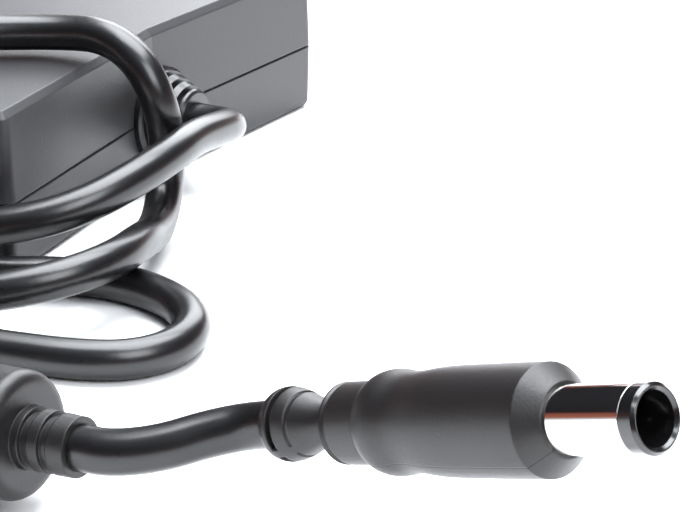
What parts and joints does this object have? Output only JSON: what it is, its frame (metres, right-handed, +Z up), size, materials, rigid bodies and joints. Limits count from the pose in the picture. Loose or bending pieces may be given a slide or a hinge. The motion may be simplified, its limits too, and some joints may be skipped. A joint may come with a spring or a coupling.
{
  "type": "laptop power adapter",
  "caption": "Slim black laptop power adapter with a three-pin mains inlet and a captive output lead that carries a ferrite choke and a barrel plug.",
  "frame": {"origin": "middle of the brick's underside, on the surface that it stands on", "axes": "+X leaves the output end along the brick, +Y runs across it, +Z is up"},
  "size_m": [0.3182, 0.2136, 0.0414],
  "materials": {
    "case_plastic": "satin",
    "label_film": "matte",
    "inlet_plastic": "matte",
    "pin_metal": "satin",
    "board_laminate": "satin",
    "spreader_metal": "satin",
    "insulation_film": "satin",
    "screw_steel": "satin",
    "epoxy_black": "matte",
    "film_box": "gloss",
    "disc_blue": "gloss",
    "ferrite": "matte",
    "winding_tape": "satin",
    "copper_wire": "gloss",
    "capacitor_sleeve": "gloss",
    "cord_pvc": "semi-gloss",
    "plug_plastic": "fine matte grain",
    "nickel": "polished",
    "tip_plastic": "gloss",
    "tie_band": "matte"
  },
  "bodies": {
    "root": {"board_posts": "case_plastic", "board_screws": "screw_steel", "boost_choke_bobbin": "epoxy_black", "boost_choke_core": "ferrite", "bridge_rectifier": "epoxy_black", "bulk_capacitor": "capacitor_sleeve", "choke_cover": "plug_plastic", "circuit_board": "board_laminate", "common_mode_core": "ferrite", "common_mode_windings": "copper_wire", "controller_chip": "epoxy_black", "cord_coil": "cord_pvc", "cord_gland": "cord_pvc", "cord_in_choke": "cord_pvc", "cord_lead": "cord_pvc", "cord_tie": "tie_band", "cord_to_choke": "cord_pvc", "cord_to_plug": "cord_pvc", "ferrite_core": "ferrite", "fuse": "epoxy_black", "inlet_body": "inlet_plastic", "inlet_earth_pin": "pin_metal", "inlet_line_pin": "pin_metal", "inlet_neutral_pin": "pin_metal", "isolation_capacitor": "disc_blue", "lower_case": "case_plastic", "lower_heat_spreader": "spreader_metal", "lower_insulation_sheet": "insulation_film", "mains_filter_capacitor": "film_box", "mains_wires": "cord_pvc", "optocoupler": "epoxy_black", "output_capacitors": "capacitor_sleeve", "output_choke_core": "ferrite", "output_choke_winding": "copper_wire", "output_film_capacitor": "film_box", "output_rectifiers": "epoxy_black", "output_wires": "cord_pvc", "plug_barrel": "nickel", "plug_centre_pin": "nickel", "plug_contact_block": "plug_plastic", "plug_inner_contact": "nickel", "plug_insulator": "tip_plastic", "plug_sleeve_far": "plug_plastic", "plug_sleeve_near": "plug_plastic", "plug_strain_relief": "plug_plastic", "power_switches": "epoxy_black", "primary_heatsink": "spreader_metal", "rating_label": "label_film", "secondary_heatsink": "spreader_metal", "surge_thermistor": "disc_blue", "transformer_core": "ferrite", "transformer_winding": "winding_tape", "upper_case": "case_plastic", "upper_heat_spreader": "spreader_metal", "upper_insulation_sheet": "insulation_film"}
  },
  "joints": []
}
